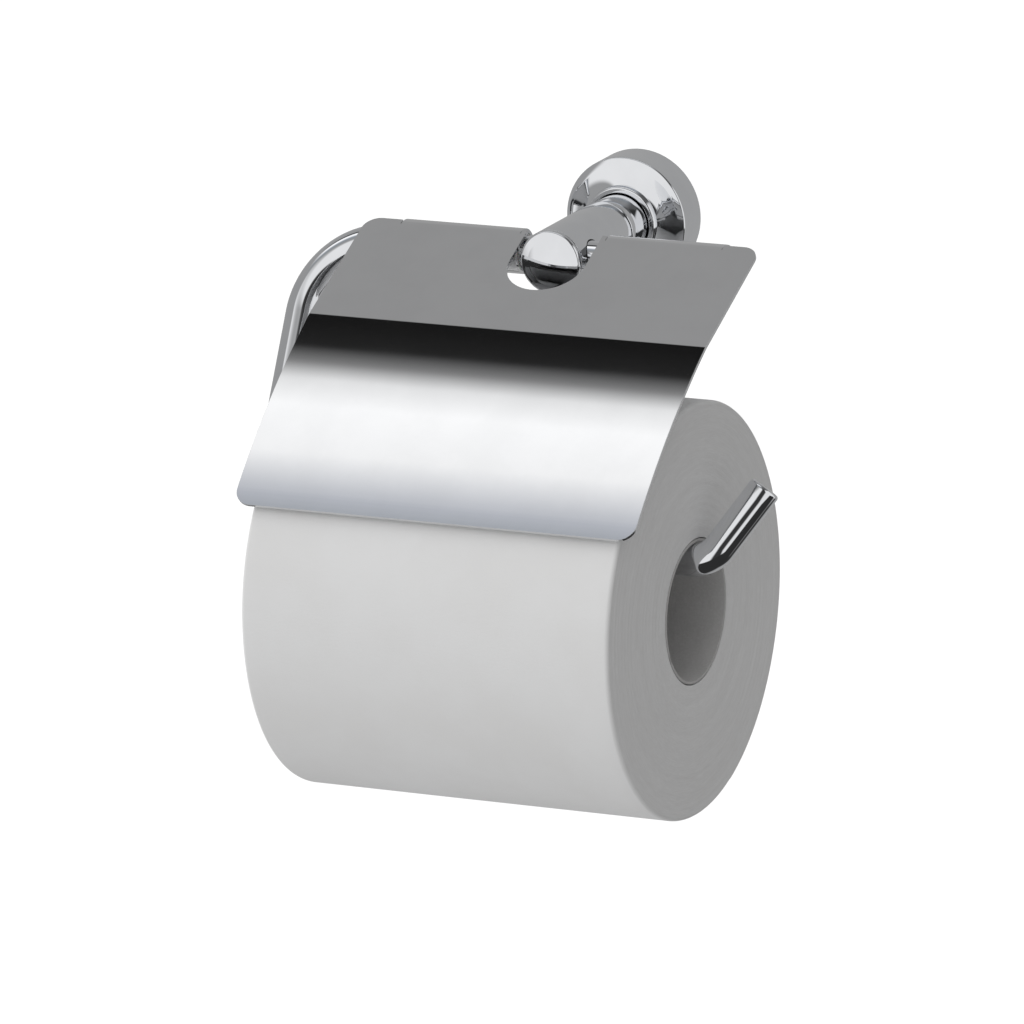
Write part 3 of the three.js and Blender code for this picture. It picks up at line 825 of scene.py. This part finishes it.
def sheet_rows():
    """Distances from the hinge's crest at which the sheet has a row of points, and its length."""
    corner = COVER["corner"]
    fold = COVER["fold_turn"] * COVER["fold_radius"]
    skirt_start = COVER["flat"] + fold
    length = skirt_start + COVER["skirt"]
    rows = {-COVER["overhang"], 0.0, COVER["notch_straight"], COVER["flat"], length}
    for k in range(1, 13):
        arc = corner * (1 - math.cos(math.pi / 2 * k / 12))
        rows.add(arc - COVER["overhang"])
        rows.add(length - arc)
    for k in range(1, 25):
        rows.add(COVER["notch_straight"] + COVER["notch_half"] * math.sin(math.pi / 2 * k / 24))
    for k in range(1, 7):
        rows.add(COVER["flat"] + fold * k / 6)
    for k in range(1, 49):
        rows.add(skirt_start + COVER["skirt"] * k / 48)
    closest = 0.004  # rows nearer than this are one row
    kept = []
    for row in sorted(rows):
        if not kept or row - kept[-1] > closest:
            kept.append(row)
    kept[-1] = length
    return kept, length


def thicken(points, quads, thickness):
    """(vertices, faces) of a sheet, from its middle's (x, forward, height, heading) and its quads."""
    vertices = []
    for share in (0.5, -0.5):
        for x, forward, height, heading in points:
            up = share * thickness
            vertices.append((x, *cover_place(forward - up * math.sin(heading),
                                             height + up * math.cos(heading))))
    first_at = {}
    alias = []  # the first point at the same place, for each point
    for x, forward, height, _ in points:
        key = (round(x, 3), round(forward, 3), round(height, 3))
        alias.append(first_at.setdefault(key, len(alias)))
    count = len(points)
    uses = {}
    faces = []
    for quad in quads:
        loop = list(dict.fromkeys(alias[i] for i in quad))
        if len(loop) < 3:
            continue
        faces.append(loop)
        faces.append([i + count for i in reversed(loop)])
        for a, b in zip(loop, loop[1:] + loop[:1]):
            uses.setdefault(frozenset((a, b)), []).append((a, b))
    for edge in uses.values():
        if len(edge) == 1:
            a, b = edge[0]
            faces.append([b, a, a + count, b + count])
    return vertices, faces


def build_cover():
    half = COVER["width"] / 2
    corner = COVER["corner"]
    relief = 0.12  # width of the slits beside a knuckle
    rows, length = sheet_rows()

    def outer(s):
        """Half the sheet's width, less at the rounded corners."""
        back = corner - (s + COVER["overhang"])
        front = corner - (length - s)
        missing = max(back, front, 0.0)
        return half - corner + math.sqrt(max(0.0, corner ** 2 - missing ** 2))

    def inner(s, side):
        """From the post's axis to the notch's side, or to the halves' seam past the notch."""
        over = max(0.0, s - COVER["notch_straight"])
        reach = math.sqrt(max(0.0, COVER["notch_half"] ** 2 - over ** 2))
        return side * COVER["notch_shift"] + reach

    points, quads = [], []

    def row_of(s, xs, station):
        forward, height, heading = station(s)
        start = len(points)
        for x in xs:
            points.append((x, forward, height, heading))
        return list(range(start, start + len(xs)))

    def band(row_a, row_b):
        for k in range(len(row_a) - 1):
            quads.append([row_a[k], row_a[k + 1], row_b[k + 1], row_b[k]])

    for side in (-1, 1):
        first, last = KNUCKLE_STARTS[side], COVER["knuckle_end"]
        columns = [first - relief, first, last, last + relief]
        earlier = None
        for s in rows:
            if s < 0:
                continue
            across = [inner(s, side), *columns, outer(s)]
            here = row_of(s, [side * x for x in across], sheet_station)
            if earlier:
                band(earlier, here)
            earlier = here
        for low, high in ((inner(0.0, side), columns[0]), (columns[3], None)):
            earlier = None
            for s in [row for row in rows if row <= 0]:
                across = [low, high if high else outer(s)]
                here = row_of(s, [side * x for x in across], sheet_station)
                if earlier:
                    band(earlier, here)
                earlier = here
        curl_length = COVER["height"] * COVER["knuckle_turn"]
        steps = 72
        earlier = None
        for k in range(steps + 1):
            s = curl_length * k / steps
            here = row_of(s, [side * x for x in columns[1:3]], curl_station)
            if earlier:
                band(earlier, here)
            earlier = here

    vertices, faces = thicken(points, quads, COVER["sheet"])
    piece = put("cover_plate", vertices, faces, SHEET, "cover", "cover_chrome", ["cover_sheet"])
    round_edges(piece, width=0.22, segments=2, angle=60.0)


def build_liners():
    for name, side in (("left", -1), ("right", 1)):
        start, end = KNUCKLE_STARTS[side], COVER["knuckle_end"]
        profile = rounded([(LINER["inner"], start, 0.12), (LINER["outer"], start, 0.12),
                           (LINER["outer"], end, 0.12), (LINER["inner"], end, 0.12)],
                          closed=True, steps=2)
        turned_piece("liner_tube_" + name, profile, NYLON, "nylon", ["hinge_liner_" + name],
                     HINGE, (side, 0, 0), "cover", closed=True, sides=72)


# ---- Roll ----


def soft_noise(x, y, z):
    return noise.noise(Vector((x, y, z)))


def build_roll():
    half = ROLL["width"] / 2
    inner, outer = ROLL["core"] + ROLL["wall"] + SEAT_GAP, ROLL["radius"]
    edge = ROLL["edge"]
    rings = 70
    end = [(inner + (outer - edge - inner) * k / rings, half) for k in range(rings + 1)]
    arc = [(outer - edge + edge * math.sin(math.pi / 2 * k / 7),
            half - edge + edge * math.cos(math.pi / 2 * k / 7)) for k in range(1, 8)]
    wall = [(outer, half - edge - (2 * half - 2 * edge) * k / 40) for k in range(1, 41)]
    bore = [(inner, -half + (2 * half) * k / 6) for k in range(1, 6)]
    profile = end + arc + wall + [(r, -d) for r, d in reversed(arc[:-1])] + \
        [(r, -d) for r, d in reversed(end)] + bore
    tail = math.radians(200)  # where the outer sheet ends, on the far side

    def shift(r, d, angle):
        """Layers that don't quite line up at the ends, and a surface that gives a little."""
        share = (r - inner) / (outer - inner)
        side = 1 if d > 0 else -1
        if abs(d) > half - 0.01:
            d -= side * (0.10 + 0.10 * soft_noise(r * 0.9, side * 7.0, math.cos(angle) * 0.7)
                         + 0.08 * soft_noise(r * 0.23, side * 3.0, math.sin(angle) * 0.6))
        if share > 0.9:
            wave = soft_noise(math.cos(angle) * 1.6, math.sin(angle) * 1.6, d * 0.012)
            r -= 0.18 + 0.16 * wave
            past = (angle - tail) % TAU
            r -= 0.16 * past / TAU
        return r, d

    turned_piece("paper_wound", profile, PAPER, "tissue", ["paper_roll"], ROLL_AXIS, ACROSS,
                 "roll", closed=True, sides=240, crease=50.0, shift=shift)

    core, thick = ROLL["core"], ROLL["wall"]
    tube = rounded([(core, -half, 0.15), (core + thick, -half, 0.2), (core + thick, half, 0.2),
                    (core, half, 0.15)], closed=True, steps=3)
    tube = dense(tube + [tube[0]], 4.0)[:-1]

    def uneven(r, d, angle):
        return r + 0.05 * soft_noise(math.cos(angle) * 2, math.sin(angle) * 2, d * 0.03) - 0.05, d

    turned_piece("core_tube", tube, CARD, "card", ["roll_core"], ROLL_AXIS, ACROSS, "roll",
                 closed=True, sides=160, shift=uneven)


build_rosette()
build_grub_screw()
build_bracket()
build_wall_screw("threaded_screw_left", "wall_screw_left", -1)
build_wall_screw("threaded_screw_right", "wall_screw_right", 1)
build_post()
build_head()
build_cap()
build_rod_grub_screw()
build_rod()
build_end_cap()
build_open_ring()
build_cover()
build_liners()
build_roll()


# ---- Studio ----

FLOOR_DROP = 0.7  # a holder hangs about this far above the floor


def make_floor():
    material, kit = new_material("floor_pale", grey(0.9))
    cloud = kit.noise(kit.object_space(), 3.0, 3.0)
    color = kit.mix(cloud, grey(0.90), grey(0.94))
    finish_material(kit, Base_Color=color, Roughness=kit.scale(cloud, 0.3, 0.7, 0.75, 0.85),
                    Emission_Color=(1, 1, 1, 1), Emission_Strength=0.45)
    mesh = bpy.data.meshes.new("studio_floor")
    size = 60.0
    mesh.from_pydata([(x * size, y * size, -FLOOR_DROP) for x, y in
                      ((-1, -1), (1, -1), (1, 1), (-1, 1))], [], [[0, 1, 2, 3]])
    mesh.materials.append(material)
    floor = bpy.data.objects.new("studio_floor", mesh)
    floor.visible_glossy = False
    floor.visible_diffuse = False
    bpy.context.scene.collection.objects.link(floor)


def make_world():
    """Pale surroundings, with a studio's lamps and flags that only polished metal reflects."""
    world = bpy.data.worlds.new("studio")
    bpy.context.scene.world = world
    world.use_nodes = True
    world.cycles.sampling_method = "NONE"
    kit = Nodes(world.node_tree)
    direction = kit.add("ShaderNodeTexCoord").outputs["Generated"]
    x, y, z = kit.parts(direction)

    # Overhead: bands across the room, by the angle from straight up towards the wall, in degrees.
    overhead = kit.math("MULTIPLY", kit.math("ARCTAN2", y, kit.math("MAXIMUM", z, 0.001)), 360 / TAU)
    low, high = -60.0, 40.0
    stops = [(-60, grey(0.30)), (-40, grey(0.33)), (-24, (0.30, 0.33, 0.355, 1)),
             (-19, (0.55, 0.57, 0.62, 1)), (-12, grey(1.1)), (-4, grey(1.2)), (0.5, grey(0.95)),
             (3.5, grey(0.25)), (6.5, grey(0.02)), (13, grey(0.008)), (15.5, grey(0.335)),
             (40, grey(0.345))]
    ceiling = kit.ramp(kit.scale(overhead, low, high, 0.0, 1.0),
                       [((a - low) / (high - low), c) for a, c in stops])
    ceiling = kit.mix(kit.ease(x, 0.1, 0.45), ceiling, grey(0.12))

    # Level surroundings: bright in front, grey behind and left, a dark band right of the front.
    around = kit.mix(kit.ease(y, 0.1, 0.45), grey(0.9), grey(0.38))
    around = kit.mix(kit.ease(x, 0.22, 0.36), around, grey(0.04))
    around = kit.mix(kit.ease(x, 0.62, 0.72), around, grey(0.85))
    around = kit.mix(kit.ease(x, -0.66, -0.56, 1.0, 0.0), around, grey(0.35))
    around = kit.mix(kit.ease(y, 0.55, 0.75), around, grey(0.38))
    below = kit.ease(z, -0.34, -0.28, 1.0, 0.0)
    front = kit.ease(y, 0.2, 0.5, 1.0, 0.0)
    around = kit.mix(kit.math("MULTIPLY", below, front), around, grey(0.03))
    shine = kit.mix(kit.ease(z, 0.55, 0.68), around, ceiling)

    # What lights paper and card: brighter from above, the left and the front.
    slope = kit.add("ShaderNodeVectorMath", dict(operation="DOT_PRODUCT"), _0=direction,
                    _1=(-0.31, -0.12, 0.16)).outputs["Value"]
    ambient = kit.math("ADD", slope, 0.57)
    soft = kit.add("ShaderNodeCombineXYZ", {}, _0=ambient, _1=ambient, _2=ambient).outputs[0]

    rays = kit.add("ShaderNodeLightPath")
    color = kit.mix(rays.outputs["Is Glossy Ray"], soft, shine)
    color = kit.mix(rays.outputs["Is Camera Ray"], color, grey(1.0))
    background = kit.add("ShaderNodeBackground", {}, Color=color)
    output = kit.add("ShaderNodeOutputWorld")
    kit.tree.links.new(background.outputs[0], output.inputs[0])


def make_lights():
    """A soft box high on the left front, and a smaller one overhead."""
    for name, place, size, power in (("key_softbox", (-0.9, -1.5, 1.3), 0.9, 2.2),
                                     ("top_softbox", (0.0, -0.5, 1.6), 0.8, 1.0)):
        data = bpy.data.lights.new(name, "AREA")
        data.shape = "SQUARE"
        data.size = size
        data.energy = power
        lamp = bpy.data.objects.new(name, data)
        lamp.location = place
        lamp.rotation_mode = "QUATERNION"
        lamp.rotation_quaternion = (AIM - Vector(place)).to_track_quat("-Z", "Y")
        lamp.visible_glossy = False
        lamp.visible_camera = False
        bpy.context.scene.collection.objects.link(lamp)


make_floor()
make_world()
make_lights()
bpy.context.scene.view_settings.view_transform = "Standard"
